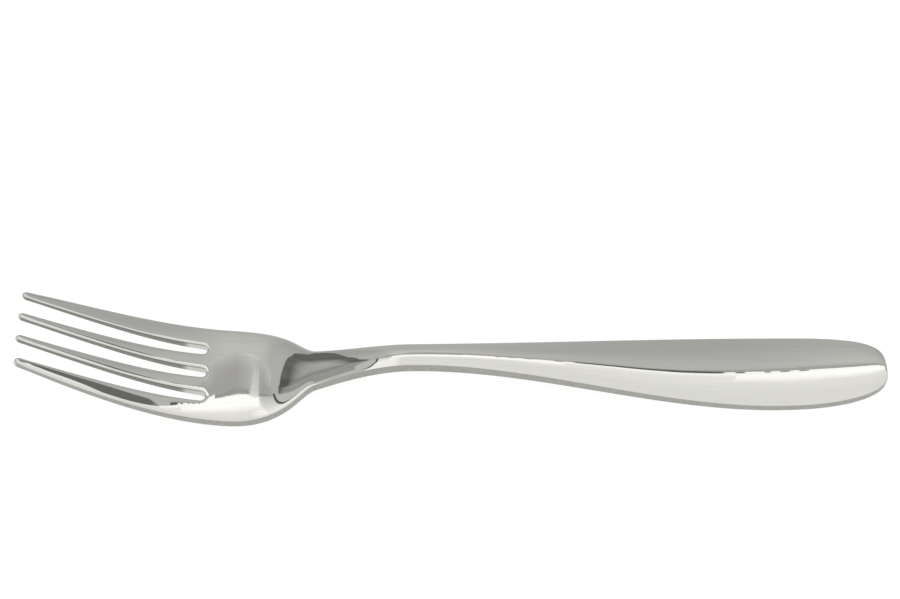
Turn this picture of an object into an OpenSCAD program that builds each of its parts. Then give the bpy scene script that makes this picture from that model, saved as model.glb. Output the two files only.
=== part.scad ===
// Dinner fork of polished stainless steel, in millimetres.
// It lies face up on z = 0, on the belly of its palm and on the underside of its handle.
// The tines point to -X, the handle runs to +X, and both halves mirror about y = 0.
// A place along the fork is its distance in plan from the points of the inner tines.

/* [Places along the fork] */
// Whole length in plan, from the points of the tines to the end of the handle
fork_length = 200; // [185:1:215]
// Length of the tines in plan, from their points to the ends of the slots
tine_length = 41.4; // [38:0.2:43]
// How much shorter the two outer tines are than the inner ones
outer_tine_setback = 0.2; // [0:0.1:1]
// Place up to which the tines keep the full crown of their points
tip_crown_upto = 15; // [10:1:20]
// Place where the tines are flattest across
tine_flat_at = 33; // [28:1:38]
// Place of the widest part of the head
head_widest_at = 45.5; // [44:0.5:47]
// Length of the rounded rear of the head, behind its widest part
head_rear_length = 21.4; // [19:0.2:24]
// Place of the belly, the lowest part of the palm
belly_at = 51.5; // [48:0.5:54]
// Place where the palm meets the neck
palm_end_at = 70; // [68:0.5:73]
// Place of the neck's narrowest and highest part
neck_at = 89; // [85:0.5:94]
// Place where the neck meets the handle
neck_end_at = 112; // [108:1:116]
// Place of the widest part of the handle
handle_widest_at = 173; // [166:1:177]
// Place where the underside of the handle rests on the table
handle_rest_at = 174.5; // [165:0.5:182]

/* [Widths] */
// Width of the head at its widest
head_width = 27; // [25.5:0.1:29]
// Width across the outer sides of the outer tines, near their points
tine_spread = 21; // [20:0.1:22]
// Width of the neck at its narrowest
neck_width = 6.5; // [5.5:0.1:7.5]
// Width of the neck where it meets the palm
neck_root_width = 9.1; // [8:0.1:10.5]
// Width of the handle at its widest
handle_width = 20.4; // [18:0.1:22]
// Length over which the shoulders blend into the neck
shoulder_fillet = 2.7; // [1:0.1:3.5]

/* [Slots] */
// Width of each slot at its round end
slot_root_width = 2.5; // [2:0.1:3]
// Width of each slot at the points of the tines
slot_tip_width = 4.6; // [4.2:0.1:5]
// Distance between the centre lines of two slots at their round ends
slot_root_pitch = 6.8; // [6.6:0.1:7]
// Distance between the centre lines of two slots at the points of the tines
slot_tip_pitch = 6.35; // [6.2:0.05:6.6]
// Length over which a tine rounds off to its point
point_length = 1.3; // [0.8:0.1:2]

/* [Heights] */
// Height of the underside at the points of the tines
tip_height = 19.8; // [16:0.1:22]
// Slope of the tines at their points, in degrees above the table
tip_angle = 28.8; // [22:0.2:33]
// Height of the underside's edges at the top of the neck's arch
arch_height = 7.1; // [5:0.1:9]
// Height of the underside at the end of the handle
end_lift = 1.9; // [0:0.1:3]

/* [Thickness] */
// Thickness at the points of the tines
tip_thickness = 1.4; // [1:0.1:1.8]
// Thickness of the palm at its outer sides
palm_thickness = 2.2; // [1.8:0.1:2.5]
// Thickness of the neck at its outer sides
neck_thickness = 2.4; // [2:0.1:3]
// Thickness of the handle at its outer sides
handle_thickness = 1.9; // [1.6:0.1:2.4]

/* [Crowns] */
// How far the middle of the head would stand above its outer sides at the tines' points
tip_crown = 0.36; // [0:0.02:0.5]
// The same where the tines are flattest across
tine_crown = 0.18; // [0:0.02:0.4]
// How far the middle of the palm stands above its rolled sides, on both faces
head_crown = 0.25; // [0:0.05:0.6]
// How far the middle of the neck stands out beyond its sides, above and below
neck_crown = 0.5; // [0.2:0.1:0.8]
// How far the middle of the handle's face stands above its sides
handle_crown = 0.7; // [0.3:0.1:1.2]
// Place beyond the neck from which the face is evenly round across
crown_round_at = 135; // [120:1:150]

/* [Edges] */
// Radius of the polished edges of the head
head_edge = 0.5; // [0.3:0.05:0.7]
// Radius of the polished edges of the neck
neck_edge = 0.4; // [0.3:0.05:0.8]
// Radius of the polished edges of the handle
handle_edge = 0.45; // [0.3:0.05:0.7]

/* [Hidden] */

steel = "#cac9c4";

// Shape exponents of the outline and the crowns, which are plain numbers
head_side_power = 2.1;
head_rear_power = 2.5;
head_rear_round_power = 0.63;
neck_flare_power = 2.2;
handle_end_power = 2.45;
handle_end_round_power = 0.31;
head_crown_power = 4.5;
neck_crown_power = 2.6;
handle_crown_power = 2;

// Rings along each piece, and points across each ring
handle_ring_count = 30;
handle_end_ring_count = 14;
neck_ring_count = 18;
palm_ring_count = 14;
tine_ring_count = 13;
slot_end_ring_count = 5;
point_ring_count = 4;
edge_point_count = 3;
tine_point_count = 3;
stem_point_count = 10;

// The outermost ring of a rounded point, side or end stops just short of its limit
first_ring_share = 0.02;
last_ring_share = 0.995;
tail_ring_share = 0.999;

slot_count = 3;
tine_count = slot_count + 1;

// Eases from 0 to 1 with no slope at either end
function ease(u) =
    let (t = min(max(u, 0), 1))
    t * t * (3 - 2 * t);

// The larger of two lengths, with a fillet of the given length where they cross
function smooth_max(a, b, fillet) =
    let (h = max(fillet - abs(a - b), 0) / fillet)
    max(a, b) + h * h * fillet / 4;

// A size that eases from the head's value to the neck's, then to the handle's
function along(s, head, neck, handle) =
    s < neck_at
    ? head + (neck - head) * ease((s - head_widest_at) / (neck_at - head_widest_at))
    : neck + (handle - neck) * ease((s - neck_at) / (handle_widest_at - neck_at));

// Half the width of the head, with its bowed sides and rounded rear
function head_half(s) =
    s < head_widest_at
    ? let (u = (head_widest_at - s) / head_widest_at)
      head_width / 2 - (head_width - tine_spread) / 2 * pow(u, head_side_power)
    : let (u = min((s - head_widest_at) / head_rear_length, 1))
      head_width / 2 * pow(1 - pow(u, head_rear_power), head_rear_round_power);

// Half the width of the stem, which flares to the palm and to the handle
function stem_half(s) =
    s < neck_at
    ? let (u = (neck_at - s) / (neck_at - palm_end_at))
      neck_width / 2 + (neck_root_width - neck_width) / 2 * pow(u, neck_flare_power)
    : s < handle_widest_at
    ? neck_width / 2 + (handle_width - neck_width) / 2
      * ease((s - neck_at) / (handle_widest_at - neck_at))
    : let (u = min((s - handle_widest_at) / (fork_length - handle_widest_at), 1))
      handle_width / 2 * pow(1 - pow(u, handle_end_power), handle_end_round_power);

function half_width(s) =
    s < head_widest_at ? head_half(s)
    : s < neck_at ? smooth_max(head_half(s), stem_half(s), shoulder_fillet)
    : stem_half(s);

// Height of the underside's edges: the tines sweep up from the belly, the neck arches,
// and the handle comes back to the table and lifts a little at its end
function underside(s) =
    s < belly_at
    ? let (u = (belly_at - s) / belly_at, rise = tan(tip_angle) * belly_at)
      tip_height * ease(u) + rise * (u - 1) * u * u
    : s < neck_at ? arch_height * ease((s - belly_at) / (neck_at - belly_at))
    : s < handle_rest_at
    ? arch_height * (1 - ease((s - neck_at) / (handle_rest_at - neck_at)))
    : end_lift * pow((s - handle_rest_at) / (fork_length - handle_rest_at), 2);

function edge_thickness(s) =
    s < tine_length
    ? tip_thickness + (palm_thickness - tip_thickness) * s / tine_length
    : along(s, palm_thickness, neck_thickness, handle_thickness);

// The face is nearly flat between rolled sides at the head, and evenly round on the handle
function crown_power(s) =
    s < neck_at
    ? along(s, head_crown_power, neck_crown_power, neck_crown_power)
    : neck_crown_power + (handle_crown_power - neck_crown_power)
      * ease((s - neck_at) / (crown_round_at - neck_at));

// Share of the crown that is left at the distance y from the middle; it also falls away
// round the end of the handle
function crown_share(s, y) =
    (s < handle_widest_at ? 1 : half_width(s) / (handle_width / 2))
    * (1 - pow(min(abs(y) / half_width(s), 1), crown_power(s)));

// The head is rolled across the points of its tines, flattest a little before the slots'
// ends, and crowned again where it is widest
function head_crown_at(s) =
    s < tine_flat_at
    ? tip_crown + (tine_crown - tip_crown)
      * ease((s - tip_crown_upto) / (tine_flat_at - tip_crown_upto))
    : tine_crown + (head_crown - tine_crown)
      * ease((s - tine_flat_at) / (head_widest_at - tine_flat_at));

function under_z(s, y) =
    underside(s) + along(s, head_crown_at(s), -neck_crown, 0) * crown_share(s, y);

function face_z(s, y) =
    underside(s) + edge_thickness(s)
    + along(s, head_crown_at(s), neck_crown, handle_crown) * crown_share(s, y);

// Centre line and half width of a slot; its end is round, and slot 1 lies in the middle
function slot_y(slot, s) =
    (slot - 1) * (slot_tip_pitch + (slot_root_pitch - slot_tip_pitch) * s / tine_length);

function slot_half(s) =
    (slot_tip_width + (slot_root_width - slot_tip_width) * s / tine_length) / 2
    * slot_opening(s);

// Share of its full width to which a slot has opened, from 0 at the end of the slot
function slot_opening(s) =
    let (u = min((tine_length - s) / (slot_root_width / 2), 1))
    sqrt(max(1 - (1 - u) * (1 - u), 0));

// Both sides of a tine, which run along the slots beside it or along the outline
function tine_sides(tine, s) =
    [tine == 0 ? -half_width(s) : slot_y(tine - 1, s) + slot_half(s),
     tine == slot_count ? half_width(s) : slot_y(tine, s) - slot_half(s)];

// Places across a strip from side a to side b, closer together at its two edges
function strip_places(a, b, edge, count) =
    let (r = min(edge, (b - a) / 2 * last_ring_share))
    concat(
        [for (i = [0 : edge_point_count - 1]) a + r * (1 - cos(90 * i / edge_point_count))],
        [for (i = [0 : count]) a + r + (b - a - 2 * r) * i / count],
        [for (i = [1 : edge_point_count]) b - r * (1 - sin(90 * i / edge_point_count))]);

// How far a rounded edge of radius r has dropped at the distance d from its side
function edge_drop(d, r) = r - sqrt(max(r * r - pow(max(r - d, 0), 2), 0));

// One ring of a loft: the face from side to side, then the underside back again.
// Each side's edge is rounded to its own share, and the squeeze thins the whole ring.
function ring(s, places, edge, shares = [1, 1], squeeze = 1) =
    let (
        n = len(places),
        a = places[0],
        b = places[n - 1],
        drops = [for (y = places)
            shares[0] * edge_drop(y - a, edge) + shares[1] * edge_drop(b - y, edge)],
        x = s - fork_length / 2,
        middle = (a + b) / 2,
        centre_z = (face_z(s, middle) + under_z(s, middle)) / 2)
    concat(
        [for (i = [0 : n - 1])
            [x, places[i], centre_z + (face_z(s, places[i]) - drops[i] - centre_z) * squeeze]],
        [for (i = [n - 1 : -1 : 0])
            [x, places[i], centre_z + (under_z(s, places[i]) + drops[i] - centre_z) * squeeze]]);

// Joins a row of rings, each with the same number of points, into one closed solid
module loft(rings) {
    n = len(rings[0]);
    half = n / 2;
    last = (len(rings) - 1) * n;
    sides = [for (j = [0 : len(rings) - 2], i = [0 : n - 1])
        let (a = j * n + i, b = j * n + (i + 1) % n)
        each [[a, b, b + n], [a, b + n, a + n]]];
    caps = [for (i = [0 : half - 2])
        let (back = n - 1 - i)
        each [
            [i + 1, i, back], [i + 1, back, back - 1],
            [last + i, last + i + 1, last + back - 1], [last + i, last + back - 1, last + back]]];
    polyhedron(points = [for (r = rings) each r], faces = concat(sides, caps));
}

// A tine narrows and thins to its round point like a quarter of an ellipse
function point_share(d) =
    let (u = min(d / point_length, 1))
    sqrt(1 - (1 - u) * (1 - u));

function is_outer(tine) = tine == 0 || tine == slot_count;

function tine_places(tine, s, share = 1) =
    let (
        sides = tine_sides(tine, s),
        middle = (sides[0] + sides[1]) / 2,
        half = (sides[1] - sides[0]) / 2 * share)
    strip_places(middle - half, middle + half, head_edge, tine_point_count);

module tine(tine) {
    start = is_outer(tine) ? outer_tine_setback : 0;
    round_at = tine_length - slot_root_width / 2;
    shaft_at = start + point_length;
    stations = concat(
        [for (i = [0 : point_ring_count - 1])
            start + point_length
            * max(1 - cos(90 * i / point_ring_count), first_ring_share)],
        [for (i = [0 : tine_ring_count - 1])
            shaft_at + (round_at - shaft_at) * i / tine_ring_count],
        [for (i = [0 : slot_end_ring_count])
            round_at + slot_root_width / 2 * sin(90 * i / slot_end_ring_count)]);
    loft([for (s = stations)
        let (
            share = point_share(s - start),
            opening = slot_opening(s),
            shares = [tine == 0 ? 1 : opening, tine == slot_count ? 1 : opening])
        ring(s, tine_places(tine, s, share), head_edge * share, shares, share)]);
}

// The palm's places across are those of the four tines where they meet it
palm_root_places = [for (tine = [0 : tine_count - 1])
    let (row = tine_places(tine, tine_length))
    for (i = [tine == 0 ? 0 : 1 : len(row) - 1]) row[i]];

module palm() {
    color(steel)
    loft([for (i = [0 : palm_ring_count])
        let (
            s = tine_length + (palm_end_at - tine_length) * i / palm_ring_count,
            scale_share = half_width(s) / half_width(tine_length))
        ring(s, palm_root_places * scale_share, head_edge)]);
}

// A loft along the stem, whose faces also round over at the end of the handle
module stem(stations) {
    loft([for (s = stations)
        let (
            w = half_width(s),
            edge = along(s, head_edge, neck_edge, handle_edge),
            squeeze = 1 - 2 * edge_drop(fork_length - s, handle_edge) / handle_thickness)
        ring(s, strip_places(-w, w, edge, stem_point_count), min(edge, w), [1, 1], squeeze)]);
}

module neck() {
    color(steel)
    stem([for (i = [0 : neck_ring_count])
        palm_end_at + (neck_end_at - palm_end_at) * i / neck_ring_count]);
}

module handle() {
    end_length = fork_length - handle_widest_at;
    color(steel)
    stem(concat(
        [for (i = [0 : handle_ring_count - 1])
            neck_end_at + (handle_widest_at - neck_end_at) * i / handle_ring_count],
        [for (i = [0 : handle_end_ring_count])
            handle_widest_at + end_length
            * min(sin(90 * i / handle_end_ring_count), tail_ring_share)]));
}

module tine_1() { color(steel) tine(0); }
module tine_2() { color(steel) tine(1); }
module tine_3() { color(steel) tine(2); }
module tine_4() { color(steel) tine(3); }

handle();
neck();
palm();
tine_1();
tine_2();
tine_3();
tine_4();
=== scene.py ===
import math

import bpy
from mathutils import Matrix, Vector


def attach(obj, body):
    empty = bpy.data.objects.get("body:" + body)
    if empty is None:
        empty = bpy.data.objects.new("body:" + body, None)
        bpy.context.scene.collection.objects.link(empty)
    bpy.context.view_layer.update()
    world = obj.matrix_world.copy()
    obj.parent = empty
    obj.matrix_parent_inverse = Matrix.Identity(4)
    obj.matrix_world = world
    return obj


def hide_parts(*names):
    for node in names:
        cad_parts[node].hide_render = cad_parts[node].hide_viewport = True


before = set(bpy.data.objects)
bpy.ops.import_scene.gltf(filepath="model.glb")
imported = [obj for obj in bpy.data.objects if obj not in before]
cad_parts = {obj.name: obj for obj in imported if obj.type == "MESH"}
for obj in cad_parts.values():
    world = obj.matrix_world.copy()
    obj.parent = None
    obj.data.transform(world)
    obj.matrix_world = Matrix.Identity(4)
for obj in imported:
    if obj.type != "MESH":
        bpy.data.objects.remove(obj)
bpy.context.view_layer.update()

# Dinner fork of mirror-polished stainless steel, lying face up on a pale table.
# The tines point to -X, the handle to +X. A place along the fork is its distance in plan
# from the points of the inner tines. All sizes here are in millimetres until a mesh is made.

MM = 0.001

# Places along the fork
fork_length = 200.0
tine_length = 41.4
outer_tine_setback = 0.2
tip_crown_upto = 15.0
tine_flat_at = 33.0
head_widest_at = 45.5
head_rear_length = 21.4
belly_at = 51.5
palm_end_at = 70.0
neck_at = 89.0
crown_round_at = 135.0
handle_widest_at = 173.0
handle_rest_at = 174.5

# Widths
head_width = 27.0
tine_spread = 21.0
neck_width = 6.5
neck_root_width = 9.1
handle_width = 20.4
shoulder_fillet = 2.7

# Slots and tines
slot_root_width = 2.5
slot_tip_width = 4.6
slot_root_pitch = 6.8
slot_tip_pitch = 6.35
point_length = 1.3
point_thickness_share = 0.75
point_forward = 0.4
tine_roll = 0.05

# Heights of the underside
tip_height = 19.8
tip_angle = 28.8
arch_height = 7.1
end_lift = 1.9

# Thickness, crowns and rounded edges
tip_thickness = 1.4
palm_thickness = 2.2
neck_thickness = 2.4
handle_thickness = 1.9
tip_crown = 0.36
tine_crown = 0.18
head_crown = 0.25
neck_crown = 0.5
handle_crown = 0.7
head_edge = 0.5
neck_edge = 0.4
handle_edge = 0.45

# Shape exponents of the outline and the crowns
head_side_power = 2.1
head_rear_power = 2.5
head_rear_round_power = 0.63
neck_flare_power = 2.2
handle_end_power = 2.45
handle_end_round_power = 0.31
head_crown_power = 4.5
neck_crown_power = 2.6
handle_crown_power = 2.0

end_length = fork_length - handle_widest_at

# The cage of the mesh, before it is subdivided
slot_count = 3
tine_count = slot_count + 1
tine_columns = 3
slot_columns = 4
tine_row_step = 1.5
stem_row_step = 1.5
shoulder_row_step = 0.9
# The shoulders' closer rows start this far behind the head's widest place
shoulder_rows_after = 10.0
# The first rows of the palm still follow the slots' ends, up to this far behind the slots
palm_start_length = 2.2
palm_start_rows = 3
handle_end_rows = 14
handle_end_corner_share = 0.94
# Rows of the handle bulge toward its round end from this far behind its widest place
bulge_after = 8.0
# The stem's outermost inner columns lie this far in, or at most this share of its half width
edge_support = 0.5
edge_support_most = 0.12
# Degrees: a point's corners and its next row, then round the slots' ends and the edges
nose_corner_angle = 45.0
nose_row_angle = 70.0
slot_end_angles = (15.0, 30.0, 45.0)
edge_angles = (30.0, 60.0, 90.0)
cage_levels = 2

# Step over which a slope is measured, and the least half width that is divided by
slope_step = 0.01
least_half = 1e-6


def ease(u):
    t = min(max(u, 0.0), 1.0)
    return t * t * (3 - 2 * t)


def mix(a, b, share):
    return a + (b - a) * share


def smooth_max(a, b, fillet):
    h = max(fillet - abs(a - b), 0.0) / fillet
    return max(a, b) + h * h * fillet / 4


def along(s, head, neck, handle):
    """A size that eases from the head's value to the neck's, then to the handle's."""
    if s < neck_at:
        return mix(head, neck, ease((s - head_widest_at) / (neck_at - head_widest_at)))
    return mix(neck, handle, ease((s - neck_at) / (handle_widest_at - neck_at)))


def head_half(s):
    if s < head_widest_at:
        u = (head_widest_at - s) / head_widest_at
        return head_width / 2 - (head_width - tine_spread) / 2 * u**head_side_power
    u = min((s - head_widest_at) / head_rear_length, 1.0)
    return head_width / 2 * (1 - u**head_rear_power) ** head_rear_round_power


def stem_half(s):
    if s < neck_at:
        u = (neck_at - s) / (neck_at - palm_end_at)
        return neck_width / 2 + (neck_root_width - neck_width) / 2 * u**neck_flare_power
    if s < handle_widest_at:
        share = ease((s - neck_at) / (handle_widest_at - neck_at))
        return mix(neck_width, handle_width, share) / 2
    u = min((s - handle_widest_at) / end_length, 1.0)
    return handle_width / 2 * (1 - u**handle_end_power) ** handle_end_round_power


def half_width(s):
    if s < head_widest_at:
        return head_half(s)
    if s < neck_at:
        return smooth_max(head_half(s), stem_half(s), shoulder_fillet)
    return stem_half(s)


def underside(s):
    """Height of the underside's edges: swept tines, belly, arched neck, resting handle."""
    if s < belly_at:
        u = (belly_at - s) / belly_at
        rise = math.tan(math.radians(tip_angle)) * belly_at
        return tip_height * ease(u) + rise * (u - 1) * u * u
    if s < neck_at:
        return arch_height * ease((s - belly_at) / (neck_at - belly_at))
    if s < handle_rest_at:
        return arch_height * (1 - ease((s - neck_at) / (handle_rest_at - neck_at)))
    return end_lift * ((s - handle_rest_at) / (fork_length - handle_rest_at)) ** 2


def edge_thickness(s):
    if s < tine_length:
        return mix(tip_thickness, palm_thickness, s / tine_length)
    return along(s, palm_thickness, neck_thickness, handle_thickness)


def edge_radius(s):
    return along(s, head_edge, neck_edge, handle_edge)


def crown_power(s):
    """The face is nearly flat between rolled sides at the head, and evenly round farther on."""
    if s < neck_at:
        return along(s, head_crown_power, neck_crown_power, neck_crown_power)
    share = ease((s - neck_at) / (crown_round_at - neck_at))
    return mix(neck_crown_power, handle_crown_power, share)


def crown_share(s, y):
    """Share of the crown left at the distance y from the middle; it falls off at the end."""
    half = max(half_width(s), least_half)
    end_share = half / (handle_width / 2) if s > handle_widest_at else 1.0
    return end_share * (1 - min(abs(y) / half, 1.0) ** crown_power(s))


def head_crown_at(s):
    if s < tine_flat_at:
        share = ease((s - tip_crown_upto) / (tine_flat_at - tip_crown_upto))
        return mix(tip_crown, tine_crown, share)
    return mix(tine_crown, head_crown, ease((s - tine_flat_at) / (head_widest_at - tine_flat_at)))


def under_z(s, y):
    return underside(s) + along(s, head_crown_at(s), -neck_crown, 0.0) * crown_share(s, y)


def face_z(s, y):
    crown = along(s, head_crown_at(s), neck_crown, handle_crown)
    return underside(s) + edge_thickness(s) + crown * crown_share(s, y)


def slot_y(slot, s):
    return (slot - (slot_count - 1) / 2) * mix(slot_tip_pitch, slot_root_pitch, s / tine_length)


def slot_half(s):
    """Half the width of a slot before its round end takes it in."""
    return mix(slot_tip_width, slot_root_width, s / tine_length) / 2


def outline_place(s, sign):
    """A place on the fork's outer side, and the place one edge radius further in."""
    slope = (half_width(s + slope_step) - half_width(s - slope_step)) / (2 * slope_step)
    radius = edge_radius(s)
    scale = radius / math.hypot(slope, 1.0)
    rim = (s, sign * half_width(s))
    return rim, (rim[0] + slope * scale, rim[1] - sign * scale)


def end_x(y):
    """How far along the fork the handle's round end reaches at the distance y."""
    u = 1 - (abs(y) * 2 / handle_width) ** (1 / handle_end_round_power)
    return handle_widest_at + end_length * u ** (1 / handle_end_power)


def end_place(y):
    """A place on the handle's round end, and the place one edge radius further in."""
    slope = (end_x(y + slope_step) - end_x(y - slope_step)) / (2 * slope_step)
    scale = handle_edge / math.hypot(slope, 1.0)
    return (end_x(y), y), (end_x(y) - scale, y + slope * scale)


def slot_place(slot, sign, angle, s=None):
    """A place on a slot's side, and one edge radius into the steel.

    Sign is -1 for the near side and 1 for the far side; angle turns round the slot's end
    from 0 at its side to 90 degrees at its middle.
    """
    turn = math.radians(angle)
    if s is None:
        s = tine_length - slot_root_width / 2 * (1 - math.sin(turn))
    rim = (s, slot_y(slot, s) + sign * slot_half(s) * math.cos(turn))
    radius = edge_radius(s)
    return rim, (rim[0] + radius * math.sin(turn), rim[1] + sign * radius * math.cos(turn))


def tine_start(tine):
    return outer_tine_setback if tine in (0, tine_count - 1) else 0.0


def tine_side(tine, sign, s, angle=0.0):
    """Rim and inner place on a tine's near (-1) or far (1) side at the place s."""
    if sign < 0 and tine == 0 or sign > 0 and tine == tine_count - 1:
        # Beside a slot's round end, the outer side keeps level with the row round it
        if angle:
            s = slot_place(0, 1, angle)[1][0]
        return outline_place(s, sign)
    slot = tine - 1 if sign < 0 else tine
    return slot_place(slot, -sign, angle, None if angle else s)


def nose_place(tine, angle):
    """Rim and inner place on a tine's round point, from -90 at its near side to 90."""
    start = tine_start(tine)
    base = start + point_length
    near = tine_side(tine, -1, base)[0][1]
    far = tine_side(tine, 1, base)[0][1]
    middle, half = (near + far) / 2, (far - near) / 2
    turn = math.radians(angle)
    inner_length, inner_half = point_length - head_edge, half - head_edge
    rim = (base - point_length * math.cos(turn), middle + half * math.sin(turn))
    inner = (base - inner_length * math.cos(turn), middle + inner_half * math.sin(turn))
    return rim, inner


def spread(a, b, count):
    """The places from a to b that part the way into equal steps."""
    return [a + (b - a) * i / count for i in range(count + 1)]


# Every vertex of the face has a key, a place in plan, and on the outline also a rim place
places = {}
rims = {}


def put(key, rim, inner):
    places[key] = inner
    rims[key] = rim


def put_row(keys, near, far, shares):
    """Places a row between two sides, each given as (rim, inner)."""
    put(keys[0], *near)
    put(keys[-1], *far)
    for key, share in zip(keys[1:-1], shares[1:-1]):
        places[key] = tuple(mix(a, b, share) for a, b in zip(near[1], far[1]))


nose_angles = spread(-nose_corner_angle, nose_corner_angle, tine_columns)
slot_round_at = tine_length - slot_root_width / 2

tine_rows = []
for tine in range(tine_count):
    start = tine_start(tine) + point_length
    count = round((slot_round_at - start) / tine_row_step)
    sections = [(s, 0.0) for s in spread(start, slot_round_at, count)]
    sections += [(None, angle) for angle in slot_end_angles]
    even = spread(0.0, 1.0, tine_columns)
    for j, angle in enumerate(nose_angles):
        put(("tine", tine, 0, j), *nose_place(tine, angle))
    keys = [("tine", tine, 1, j) for j in range(tine_columns + 1)]
    put_row(keys, nose_place(tine, -nose_row_angle), nose_place(tine, nose_row_angle), even)
    for i, (s, angle) in enumerate(sections):
        keys = [("tine", tine, i + 2, j) for j in range(tine_columns + 1)]
        put_row(keys, tine_side(tine, -1, s, angle), tine_side(tine, 1, s, angle), even)
    tine_rows.append(len(sections) + 1)

# Round the end of each slot, between the corners of the two tines beside it
corner = slot_end_angles[-1]
for slot in range(slot_count):
    for m, turn in enumerate(spread(corner, 180 - corner, slot_columns)):
        if 0 < m < slot_columns:
            sign, angle = (-1, turn) if turn <= 90 else (1, 180 - turn)
            put(("slot", slot, m), *slot_place(slot, sign, angle))

# The row of keys from side to side where tines and slot ends meet the palm
first_row = []
for tine in range(tine_count):
    first_row += [("tine", tine, tine_rows[tine], j) for j in range(tine_columns + 1)]
    if tine < slot_count:
        first_row += [("slot", tine, m) for m in range(1, slot_columns)]
columns = len(first_row) - 1
first_x, first_y = places[first_row[0]]

# Shares across the palm just behind the slots, and the even ones that the stem eases to
palm_start = tine_length + palm_start_length
palm_half = outline_place(palm_start, 1)[1][1]
palm_shares = []
for key in first_row:
    if key[0] == "slot":
        slot, m = key[1], key[2]
        near = places[("tine", slot, tine_rows[slot], tine_columns)][1]
        far = places[("tine", slot + 1, tine_rows[slot + 1], 0)][1]
        y = mix(near, far, m / slot_columns)
    else:
        y = places[key][1]
    palm_shares.append(y / abs(first_y))


def stem_shares(s, half):
    """Shares across a stem row: supported near both edges, otherwise even."""
    support = min(edge_support / half, edge_support_most)
    inner = spread(-1 + support, 1 - support, columns - 2)
    even = [-1.0] + inner + [1.0]
    share = ease((s - palm_start) / (neck_at - palm_start))
    return [mix(a, b, share) for a, b in zip(palm_shares, even)]


# Places of the stem's rows, from the palm to the end of the handle
stations = spread(first_x, palm_start, palm_start_rows)[1:]
for upto, step in ((head_widest_at + shoulder_rows_after, stem_row_step),
                   (palm_end_at, shoulder_row_step), (handle_widest_at, stem_row_step)):
    count = round((upto - stations[-1]) / step)
    stations += spread(stations[-1], upto, count)[1:]
corner_turn = math.asin(handle_end_corner_share)
for i in range(1, handle_end_rows + 1):
    stations.append(handle_widest_at + end_length * math.sin(corner_turn * i / handle_end_rows))

# The last row runs round the end of the handle, from corner to corner
corner_rim, corner_inner = outline_place(stations[-1], 1)
end_shares = stem_shares(stations[-1], corner_inner[1])
end_row = [end_place(share * corner_rim[1]) for share in end_shares]
end_bulges = [inner[0] - end_row[0][1][0] for _, inner in end_row]

last_row = len(stations)
bulge_from = handle_widest_at + bulge_after
for i, s in enumerate(stations, 1):
    keys = [("stem", i, j) for j in range(columns + 1)]
    if i == last_row:
        for key, (rim, inner) in zip(keys, end_row):
            put(key, rim, inner)
        continue
    near, far = outline_place(s, -1), outline_place(s, 1)
    put(keys[0], *near)
    put(keys[-1], *far)
    if s <= palm_start:
        share = (s - first_x) / (palm_start - first_x)
        for key, first, part in list(zip(keys, first_row, palm_shares))[1:-1]:
            x = mix(places[first][0], palm_start, share)
            y = mix(places[first][1], part * palm_half, share)
            places[key] = (x, y)
    else:
        side_x, side_y = far[1]
        bulge = max((s - bulge_from) / (stations[-1] - bulge_from), 0.0) ** 2
        for key, share, push in list(zip(keys, stem_shares(s, side_y), end_bulges))[1:-1]:
            places[key] = (side_x + push * bulge, share * side_y)

# The closed walk round the outline, counterclockwise seen from above
walk = [("tine", 0, i, 0) for i in range(1, tine_rows[0] + 1)]
walk += [("stem", i, 0) for i in range(1, last_row + 1)]
walk += [("stem", last_row, j) for j in range(1, columns)]
walk += [("stem", i, columns) for i in range(last_row, 0, -1)]
for tine in reversed(range(tine_count)):
    walk += [("tine", tine, i, tine_columns) for i in range(tine_rows[tine], 0, -1)]
    walk += [("tine", tine, 0, j) for j in range(tine_columns, -1, -1)]
    if tine:
        walk += [("tine", tine, i, 0) for i in range(1, tine_rows[tine] + 1)]
        walk += [("slot", tine - 1, m) for m in range(slot_columns - 1, 0, -1)]

# Quads of the face, as keys
quads = []
for tine in range(tine_count):
    for i in range(tine_rows[tine]):
        for j in range(tine_columns):
            quads.append([("tine", tine, i, j), ("tine", tine, i + 1, j),
                          ("tine", tine, i + 1, j + 1), ("tine", tine, i, j + 1)])
for i in range(last_row):
    for j in range(columns):
        a, b = (first_row[j], first_row[j + 1]) if i == 0 else (("stem", i, j), ("stem", i, j + 1))
        quads.append([a, ("stem", i + 1, j), ("stem", i + 1, j + 1), b])


def squeeze(key, s):
    """How much of its thickness a tine keeps as it rounds off to its point."""
    if key[0] != "tine":
        return 1.0
    u = min(max((s - tine_start(key[1])) / point_length, 0.0), 1.0)
    return mix(point_thickness_share, 1.0, math.sqrt(1 - (1 - u) ** 2))


def roll(key, s):
    """How much lower a tine's face lies toward its sides than along its middle."""
    if key[0] != "tine" or key[1] == 0:
        return 0.0
    side = 2 * key[3] / tine_columns - 1
    fade = ease((s - tip_crown_upto) / (tine_length - tip_crown_upto))
    return tine_roll * side * side * (1 - fade)


def height(key, place, drop, upper):
    s, y = place
    top, bottom = face_z(s, y) - roll(key, s), under_z(s, y)
    centre = (top + bottom) / 2
    z = top - drop if upper else bottom + drop
    return centre + (z - centre) * squeeze(key, s)


def lean(key, place, z):
    """A point is cut off square to its rising tine, so its upper edge lies farther back."""
    if key[0] != "tine":
        return 0.0
    share = 1 - ease((place[0] - tine_start(key[1])) / (2 * point_length))
    behind = (z - under_z(*place)) * math.tan(math.radians(tip_angle))
    return (behind - point_forward) * share


vertices = []
index = {}


def add_vertex(name, place, z):
    x = place[0] + lean(name[0], place, z) - fork_length / 2
    index[name] = len(vertices)
    vertices.append((x * MM, place[1] * MM, z * MM))


for key, place in places.items():
    add_vertex((key, "face"), place, height(key, place, 0.0, True))
    add_vertex((key, "back"), place, height(key, place, 0.0, False))

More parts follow.
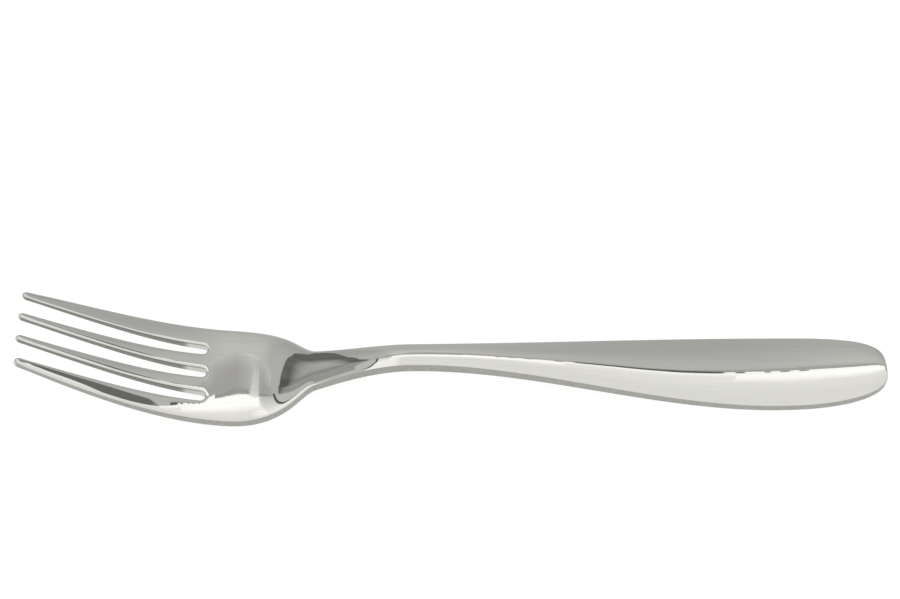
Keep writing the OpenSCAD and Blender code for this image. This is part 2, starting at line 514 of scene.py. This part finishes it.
rim_levels = ["face"]
rim_levels += [("upper", angle) for angle in edge_angles]
rim_levels += ["middle"]
rim_levels += [("lower", angle) for angle in reversed(edge_angles)]
rim_levels += ["back"]
for key in walk:
    rim, inner = rims[key], places[key]
    radius = edge_radius(rim[0])
    outer = {}
    for angle in edge_angles:
        turn = math.radians(angle)
        place = tuple(mix(a, b, math.sin(turn)) for a, b in zip(inner, rim))
        drop = radius * (1 - math.cos(turn))
        for side in ("upper", "lower"):
            z = height(key, place, drop, side == "upper")
            add_vertex((key, (side, angle)), place, z)
            outer[side] = z
    add_vertex((key, "middle"), rim, (outer["upper"] + outer["lower"]) / 2)

faces = [[index[(key, "face")] for key in quad] for quad in quads]
faces += [[index[(key, "back")] for key in reversed(quad)] for quad in quads]
for a, b in zip(walk, walk[1:] + walk[:1]):
    for high, low in zip(rim_levels, rim_levels[1:]):
        faces.append([index[(a, high)], index[(a, low)], index[(b, low)], index[(b, high)]])

mesh = bpy.data.meshes.new("fork")
mesh.from_pydata(vertices, [], faces)
mesh.validate()
for polygon in mesh.polygons:
    polygon.use_smooth = True
fork = bpy.data.objects.new("fork", mesh)
bpy.context.scene.collection.objects.link(fork)
rounding = fork.modifiers.new("rounding", "SUBSURF")
rounding.levels = cage_levels
rounding.render_levels = cage_levels

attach(fork, "root")
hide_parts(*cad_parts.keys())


# Materials

def linear(code):
    """An sRGB hex colour as linear RGBA."""
    parts = [int(code[i:i + 2], 16) / 255 for i in (1, 3, 5)]
    return [c / 12.92 if c <= 0.04045 else ((c + 0.055) / 1.055) ** 2.4 for c in parts] + [1.0]


def add_node(tree, kind, settings=None, **links):
    """Adds a node, sets its properties and sockets, and links what is an output or a node."""
    node = tree.nodes.new(kind)
    for name, value in (settings or {}).items():
        setattr(node, name, value)
    for name, value in links.items():
        socket = node.inputs[int(name[1:]) if name[0] == "_" else name.replace("_", " ")]
        if isinstance(value, bpy.types.Node):
            value = value.outputs[0]
        if isinstance(value, bpy.types.NodeSocket):
            tree.links.new(value, socket)
        else:
            socket.default_value = value
    return node


def new_material(name):
    material = bpy.data.materials.new(name)
    material.use_nodes = True
    material.node_tree.nodes.clear()
    return material, material.node_tree


# Stainless steel, mirror-polished on wheels: a clear, warm grey mirror whose reflections
# waver a little where the wheel leaned in, with hair-fine lines along the fork and faint
# upright lines of haze left by the rolls on the palm. The outer edges are only ground, so
# they are dull and finely mottled, and their colour is darkened further by painted shade, in
# place of the darker reflection they show; the walls of the slots carry a darker painted shade
# still, where the tines shade one another, except at the slots' round ends and the points of
# the tines, which the wheel reaches again and which keep the face's colour.
polished_colour = "#cac9c4"
hazy_colour = "#c4c3be"
# Painted shade: the ground edges' colours are darkened in place of the darker reflection they show
ground_and_shade_colours = ("#92918b", "#b2b1ac")
# Painted shade: the slots' walls are darker still, where the tines shade one another
slot_shade_colours = ("#7c7b75", "#94938d")
polished_roughness = 0.025
hazy_roughness = 0.05
ground_roughness = 0.3
dull_roughness = 0.2
# The surface turns from ground, with painted shade, to polished between these upward parts of its
# normal
ground_and_shade_upto, polished_from = 0.3, 0.62
# Sizes and depths in millimetres; polishing lines are finer than this, but would not show
waver_size, waver_depth = 14.0, 0.04
line_width, line_length, line_depth = 0.5, 14.0, 0.0003
mottle_size = 0.7
chatter_pitch, chatter_haze = 0.75, 0.6
# Between which two heights of the polishing lines they turn hazy
line_haze_from, line_haze_full = 0.5, 0.8
# Where a finish or the slots' painted shade is still missing and where it is whole: in millimetres
# from the points of the tines, or from the long middle line of the fork, whose near side is
# negative
slot_walls_inside = (10.0, 9.4)
slot_ends_from, slot_ends_upto = (35.5, 37.5), (43.5, 42.5)
slot_shade_upto = (42.5, 41.5)
chatter_from, chatter_upto, chatter_beside = (42.0, 49.0), (55.0, 53.0), (5.0, 0.0)
streak_from, streak_upto = (51.0, 52.8), (54.0, 53.2)
streak_far_side, streak_near_side = (8.0, -5.0), (-7.5, -5.0)

steel, tree = new_material("mirror_polished_stainless_steel")
place = add_node(tree, "ShaderNodeTexCoord").outputs["Object"]
along_fork, across_fork, _ = add_node(tree, "ShaderNodeSeparateXYZ", _0=place).outputs
normal = add_node(tree, "ShaderNodeNewGeometry").outputs["Normal"]
facing_end, _, facing_up = add_node(tree, "ShaderNodeSeparateXYZ", _0=normal).outputs
facing_face = add_node(tree, "ShaderNodeMath", {"operation": "ABSOLUTE"}, _0=facing_up)
off_middle = add_node(tree, "ShaderNodeMath", {"operation": "ABSOLUTE"}, _0=across_fork)


def fork_x(s):
    """The X in metres of a place given in millimetres from the tips."""
    return (s - fork_length / 2) * MM


def along_edge(start, end):
    """An edge of a zone, between two places along the fork."""
    return along_fork, fork_x(start), fork_x(end)


def side_edge(distance, start, end):
    """An edge of a zone, between two distances from the fork's middle line."""
    return distance, start * MM, end * MM


def zone(*edges):
    """1 in a zone of the steel; each edge, a value, a start and an end, eases it from 0."""
    share = 1.0
    for value, start, end in edges:
        edge = add_node(tree, "ShaderNodeMapRange", {"interpolation_type": "SMOOTHSTEP"},
                        Value=value, From_Min=start, From_Max=end)
        share = add_node(tree, "ShaderNodeMath", {"operation": "MULTIPLY"}, _0=share, _1=edge)
    return share


# Where the steel is polished and keeps the face's colour, and where the slots' walls take painted
# shade
slot_walls = side_edge(off_middle, *slot_walls_inside)
slot_ends = zone(slot_walls, along_edge(*slot_ends_from), along_edge(*slot_ends_upto))
points = zone((facing_end, -ground_and_shade_upto, -polished_from))
# Painted shade is left off where the steel faces up, at the points and at the slots' ends
polished_and_unshaded = zone((facing_face, ground_and_shade_upto, polished_from))
for part in (points, slot_ends):
    polished_and_unshaded = add_node(tree, "ShaderNodeMath", {"operation": "MAXIMUM"}, _0=polished_and_unshaded, _1=part)
# Painted shade on the walls of the slots, up to their round ends
slot_shade = zone(slot_walls, along_edge(*slot_shade_upto))

# The wheel's waver and lines, and the mottling of the ground edges
waver = add_node(tree, "ShaderNodeTexNoise", Vector=place, Scale=1 / (waver_size * MM),
                 Detail=1.0)
stretched = add_node(tree, "ShaderNodeMapping", Vector=place,
                     Scale=(1.0, line_length / line_width, 1.0))
lines = add_node(tree, "ShaderNodeTexNoise", Vector=stretched, Scale=1 / (line_length * MM),
                 Detail=3.0)
mottle = add_node(tree, "ShaderNodeTexNoise", Vector=place, Scale=1 / (mottle_size * MM),
                  Detail=2.0)
wavy = add_node(tree, "ShaderNodeBump", Height=waver, Distance=waver_depth * MM)
relief = add_node(tree, "ShaderNodeBump", Height=lines, Distance=line_depth * MM, Normal=wavy)

# Haze: in some of the lines, and in the chatter of the rolls across the palm, which ends in
# one upright streak that is duller
turns = add_node(tree, "ShaderNodeMath", {"operation": "MULTIPLY"}, _0=along_fork,
                 _1=2 * math.pi / (chatter_pitch * MM))
ripples = add_node(tree, "ShaderNodeMath", {"operation": "SINE"}, _0=turns)
ripple_haze = add_node(tree, "ShaderNodeMapRange", Value=ripples, To_Max=chatter_haze)
chattered = zone(along_edge(*chatter_from), along_edge(*chatter_upto),
                 side_edge(across_fork, *chatter_beside))
chatter = add_node(tree, "ShaderNodeMath", {"operation": "MULTIPLY"}, _0=ripple_haze,
                   _1=chattered)
line_haze = add_node(tree, "ShaderNodeMapRange", Value=lines, From_Min=line_haze_from,
                     From_Max=line_haze_full)
haze = add_node(tree, "ShaderNodeMath", {"operation": "ADD", "use_clamp": True},
                _0=line_haze, _1=chatter)
dull_streak = zone(along_edge(*streak_from), along_edge(*streak_upto),
                   side_edge(across_fork, *streak_far_side),
                   side_edge(across_fork, *streak_near_side))

colours = {"data_type": "RGBA"}
face_colour = add_node(tree, "ShaderNodeMix", colours, _0=haze,
                       _6=linear(polished_colour), _7=linear(hazy_colour))
# Painted shade on the edges, over their real ground tone
ground_and_shade_colour = add_node(tree, "ShaderNodeMix", colours, _0=mottle,
                         _6=linear(ground_and_shade_colours[0]), _7=linear(ground_and_shade_colours[1]))
# Painted shade on the slots' walls, darker than on the edges
slot_shade_colour = add_node(tree, "ShaderNodeMix", colours, _0=mottle,
                          _6=linear(slot_shade_colours[0]), _7=linear(slot_shade_colours[1]))
shaded_wall_colour = add_node(tree, "ShaderNodeMix", colours, _0=slot_shade,
                       _6=ground_and_shade_colour.outputs[2], _7=slot_shade_colour.outputs[2])
colour = add_node(tree, "ShaderNodeMix", colours, _0=polished_and_unshaded,
                  _6=shaded_wall_colour.outputs[2], _7=face_colour.outputs[2])
hazy = add_node(tree, "ShaderNodeMapRange", Value=haze, To_Min=polished_roughness,
                To_Max=hazy_roughness)
face_roughness = add_node(tree, "ShaderNodeMix", _0=dull_streak, _2=hazy, _3=dull_roughness)
roughness = add_node(tree, "ShaderNodeMix", _0=polished_and_unshaded, _2=ground_roughness,
                     _3=face_roughness)
shader = add_node(tree, "ShaderNodeBsdfPrincipled", Base_Color=colour.outputs[2],
                  Metallic=1.0, Roughness=roughness, Normal=relief)
add_node(tree, "ShaderNodeOutputMaterial", Surface=shader)
mesh.materials.append(steel)


# Table and studio, in metres

white_colour = "#ffffff"
table_shadow_colour = "#6e6e6e"
table_plain_colour = "#e4e4e4"
table_glow = 0.9
table_reach = 4.0
fill_glow = 0.6
# Between which two heights of the noise a cloth turns from its darker to its lighter folds
cloth_noise = (0.4, 0.6)


def stage_panel(name, corners, material):
    panel_mesh = bpy.data.meshes.new(name)
    panel_mesh.from_pydata(corners, [], [list(range(len(corners)))])
    panel_mesh.materials.append(material)
    panel = bpy.data.objects.new(name, panel_mesh)
    bpy.context.scene.collection.objects.link(panel)
    return panel


def seen_share(tree):
    """1 for what the camera, a reflection or a refraction sees, otherwise 0."""
    light_path = add_node(tree, "ShaderNodeLightPath")
    add = {"operation": "ADD", "use_clamp": True}
    seen = add_node(tree, "ShaderNodeMath", add, _0=light_path.outputs["Is Camera Ray"],
                    _1=light_path.outputs["Is Glossy Ray"])
    return add_node(tree, "ShaderNodeMath", add, _0=seen,
                    _1=light_path.outputs["Is Transmission Ray"])


# White laminate table: its white is seen as it is, and a part of it takes the shadow
table, tree = new_material("white_table")
own_white = add_node(tree, "ShaderNodeEmission", Color=linear(white_colour),
                     Strength=table_glow)
shadow_part = add_node(tree, "ShaderNodeBsdfDiffuse", Color=linear(table_shadow_colour))
seen = add_node(tree, "ShaderNodeAddShader", _0=own_white, _1=shadow_part)
plain = add_node(tree, "ShaderNodeBsdfDiffuse", Color=linear(table_plain_colour))
surface = add_node(tree, "ShaderNodeMixShader", _0=seen_share(tree), _1=plain, _2=seen)
add_node(tree, "ShaderNodeOutputMaterial", Surface=surface)
stage_panel("floor", [(-table_reach, -table_reach, 0), (table_reach, -table_reach, 0),
                      (table_reach, table_reach, 0), (-table_reach, table_reach, 0)], table)


X, Y, Z = (1.0, 0.0, 0.0), (0.0, 1.0, 0.0), (0.0, 0.0, 1.0)


def studio_card(name, corners, glow, fades=(), folds=None):
    """A card that lights and is mirrored in the steel, but never stands before the camera.

    A glow of 1 is white. Each fade is a direction, the places along it where the fade starts
    and ends, and what it multiplies the glow by at the one and at the other. Folds, their size
    and what they multiply the darker and the lighter parts by, make the glow uneven.
    """
    material, tree = new_material(name)
    where = add_node(tree, "ShaderNodeNewGeometry").outputs["Position"]
    changes = []
    for direction, *ends in fades:
        place = add_node(tree, "ShaderNodeVectorMath", {"operation": "DOT_PRODUCT"}, _0=where,
                         _1=direction)
        changes.append((place.outputs["Value"], *ends))
    if folds:
        size, darker, lighter = folds
        cloth = add_node(tree, "ShaderNodeTexNoise", Vector=where, Scale=1 / size, Detail=2.0)
        changes.append((cloth, *cloth_noise, darker, lighter))
    for value, start, end, at_start, at_end in changes:
        fade = add_node(tree, "ShaderNodeMapRange", Value=value, From_Min=start,
                        From_Max=end, To_Min=at_start, To_Max=at_end)
        glow = add_node(tree, "ShaderNodeMath", {"operation": "MULTIPLY"}, _0=fade, _1=glow)
    surface = add_node(tree, "ShaderNodeEmission", Color=linear(white_colour), Strength=glow)
    add_node(tree, "ShaderNodeOutputMaterial", Surface=surface)
    card = stage_panel(name, corners, material)
    card.visible_camera = False
    card.visible_shadow = False


def level_card(name, left, right, near, far, height, glow, fades=()):
    corners = [(left, near, height), (left, far, height), (right, far, height),
               (right, near, height)]
    studio_card(name, corners, glow, fades)


def upright_card(name, left, right, at, top, glow, fades=()):
    corners = [(left, at, 0), (right, at, 0), (right, at, top), (left, at, top)]
    studio_card(name, corners, glow, fades)


# Glow of each card
diffuser_glow = 1.17
far_band_glow = 1.75
fold_glow = 1.35
lip_glow = 0.15
lip_gap_glow = 1.8
frame_glow = 0.6
stand_glow = 0.22
bar_glow = 0.14
left_diffuser_glow = 0.8
wall_glow = 0.62
cloth_glow = 0.2
room_glow = 0.7

# Soft light overhead: a wide diffuser with a brighter band near its far edge, held in a grey
# frame behind a thin dark lip, with a dark stand beside it at the right; a dark bar parts it
# from a dimmer diffuser at the left. Cards that overlap lie at least a layer apart.
light_height = 0.9
layer = 0.001
light_near = -1.1
light_far = 0.667
light_left = -0.36
light_reach = 1.2
fold_right = -0.228
lip_left = -0.315
lip_right = 0.408
lip_far = 0.68
frame_far = 0.715
stand_left = 0.44
stand_far = 0.8
level_card("diffuser", light_left, light_reach, light_near, light_far, light_height,
           diffuser_glow, [(Y, 0.44, 0.62, 1.0, 1.12), (Y, 0.625, light_far, 1.0, 1.3),
                           (X, 0.3, 0.05, 1.0, 1.03), (X, -0.12, -0.2, 1.0, 1.22)])
level_card("diffuser_glow", fold_right, 0.34, 0.55, light_far, light_height - layer,
           far_band_glow, [(Y, 0.615, 0.55, 1.0, 0.74), (X, 0.17, 0.34, 1.0, 0.93)])
# A fold in the diffuser, which the palm mirrors close to its root
level_card("diffuser_fold", light_left, fold_right, 0.42, light_far, light_height - layer,
           fold_glow, [(Y, 0.5, 0.65, 1.0, 0.66), (X, fold_right, -0.262, 1.3, 1.0)])
lip = [(lip_left, light_far), (lip_left, lip_far), (0.33, lip_far), (0.375, 0.692),
       (lip_right, 0.695), (lip_right, light_far)]
studio_card("diffuser_lip", [(x, y, light_height - 2 * layer) for x, y in lip], lip_glow,
            [(X, 0.37, 0.29, 1.0, 3.2)])
frame_fades = [(X, 0.0, -0.12, 1.0, 1.22), (X, -0.17, -0.27, 1.0, 0.8),
               (X, -0.27, light_left, 1.0, 1.07)]
level_card("diffuser_frame", light_left, stand_left, light_far, frame_far, light_height + layer,
           frame_glow, frame_fades + [(X, 0.38, 0.43, 1.0, 1.3)])
# The frame's far edge, left of the stand, grows paler and so meets the wall softly
edge_near, edge_far, edge_right = 0.712, 0.742, 0.25
level_card("frame_edge", light_left, edge_right, edge_near, edge_far, light_height, frame_glow,
           frame_fades + [(Y, edge_near, edge_far, 1.0, 1.4)])
stand = [(0.462, 0.655), (0.497, 0.693), (0.538, 0.727), (0.592, 0.745), (0.675, 0.765),
         (0.8, stand_far), (light_reach, stand_far), (light_reach, 0.72), (0.8, 0.7),
         (0.715, 0.64), (0.665, 0.568), (0.6, 0.595), (0.52, 0.64)]
studio_card("diffuser_stand", [(x, y, light_height - layer) for x, y in stand], stand_glow,
            [(X, 0.462, 0.52, 2.5, 1.0), (Y, 0.75, 0.79, 1.0, 1.6)])
bar = [(-0.385, 0.69), (-0.368, 0.69), (-0.351, 0.48), (-0.358, 0.3), (-0.378, 0.0),
       (-0.398, 0.0), (-0.378, 0.3), (-0.369, 0.48)]
studio_card("diffuser_bar", [(x, y, light_height - 2 * layer) for x, y in bar], bar_glow)
level_card("left_diffuser", -light_reach, light_left, light_near, light_far, light_height,
           left_diffuser_glow)
# Gaps in the lip through which the light shows
lip_gaps = ((0.15, 0.23), (0.242, 0.255), (0.271, 0.287), (0.301, 0.33), (0.345, 0.361))
for count, (gap_left, gap_right) in enumerate(lip_gaps):
    level_card(f"lip_gap_{count}", gap_left, gap_right, light_far, lip_far,
               light_height - 3 * layer, lip_gap_glow)
# Grey wall behind the fork, palest high up and in its middle
wall_at = 1.3
wall_top = 2.15
wall_reach = 2.5
upright_card("far_wall", -wall_reach, wall_reach, wall_at, wall_top, wall_glow,
             [(Z, 1.1, 1.5, 1.0, 1.22), (X, 0.45, 0.2, 1.0, 1.12),
              (X, -0.36, -0.55, 1.0, 0.84)])
# Dark cloth close behind the tines and to their left: it leans away from them up to its bend
# and stands upright above it; along its hem it catches more light
cloth_left = -1.2
cloth_corner = -0.2
cloth_at = 0.3
cloth_lean = 0.7
cloth_foot = 0.04
cloth_bend = (cloth_at - cloth_foot) / cloth_lean
cloth_folds = (0.03, 0.88, 1.12)
across_hem = (1.0, 0.0, 0.432)
hem = [(-0.0585, 0.04), (-0.0655, 0.055), (-0.079, 0.079), (-0.0915, 0.1005), (-0.103, 0.122),
       (-0.114, 0.142), (-0.127, 0.173), (-0.15, 0.23), (-0.167, 0.28), (-0.192, 0.345),
       (cloth_corner, cloth_bend)]
leaning = hem + [(cloth_left, cloth_bend), (cloth_left, 0.3), (-0.2, 0.15), (-0.1, 0.06)]
studio_card("leaning_cloth", [(x, cloth_foot + cloth_lean * z, z) for x, z in leaning],
            cloth_glow, [(across_hem, -0.062, -0.073, 1.0, 3.0),
                         (X, -0.168, -0.185, 1.0, 0.72)], cloth_folds)
upright = [(cloth_corner, cloth_bend), (-0.206, 0.4), (-0.23, 0.42), (-0.283, 0.49),
           (-0.335, 0.6), (-0.4, 0.75), (-0.5, 1.02), (-0.616, 1.35), (cloth_left, 2.9),
           (cloth_left, cloth_bend)]
studio_card("upright_cloth", [(x, cloth_at, z) for x, z in upright], cloth_glow,
            [(X, -0.207, -0.222, 1.0, 2.5)], cloth_folds)
# Dim room behind the camera
room_reach, room_at, room_top = 2.0, -1.4, 2.4
upright_card("room", -room_reach, room_reach, room_at, room_top, room_glow)

# White all round where the camera or the steel looks, and a dimmer light on dull surfaces
world = bpy.data.worlds.new("studio")
bpy.context.scene.world = world
world.use_nodes = True
tree = world.node_tree
tree.nodes.clear()
white = add_node(tree, "ShaderNodeBackground", Color=linear(white_colour), Strength=1.0)
fill = add_node(tree, "ShaderNodeBackground", Color=linear(white_colour), Strength=fill_glow)
surface = add_node(tree, "ShaderNodeMixShader", _0=seen_share(tree), _1=fill, _2=white)
add_node(tree, "ShaderNodeOutputWorld", Surface=surface)

# Camera: half a metre off, 50 degrees above the table, with a slight turn and roll;
# its distance and aim are in millimetres from the fork's middle
view_rise = math.radians(50.0)
view_turn = math.radians(-2.928)
view_roll = math.radians(1.783)
view_distance = 500.0
view_aim = Vector((-2.684, 0.0, 29.042)) * MM
picture_width = 900
pixels_per_mm = 4.47554
focal_pixels = pixels_per_mm * view_distance
back = Vector((math.sin(view_turn) * math.cos(view_rise),
               -math.cos(view_turn) * math.cos(view_rise), math.sin(view_rise)))
level_right = (-back).cross(Vector(Z)).normalized()
level_up = level_right.cross(-back)
right = math.cos(view_roll) * level_right + math.sin(view_roll) * level_up
up = -math.sin(view_roll) * level_right + math.cos(view_roll) * level_up
camera_data = bpy.data.cameras.new("camera")
camera_data.sensor_fit = "HORIZONTAL"
camera_data.sensor_width = 36.0
camera_data.lens = focal_pixels / picture_width * camera_data.sensor_width
camera_data.clip_start = 0.01
camera = bpy.data.objects.new("camera", camera_data)
bpy.context.scene.collection.objects.link(camera)
turned = Matrix((right, up, back)).transposed()
view_from = view_aim + back * (view_distance * MM)
camera.matrix_world = Matrix.Translation(view_from) @ turned.to_4x4()
bpy.context.scene.camera = camera

bpy.context.scene.view_settings.view_transform = "Standard"
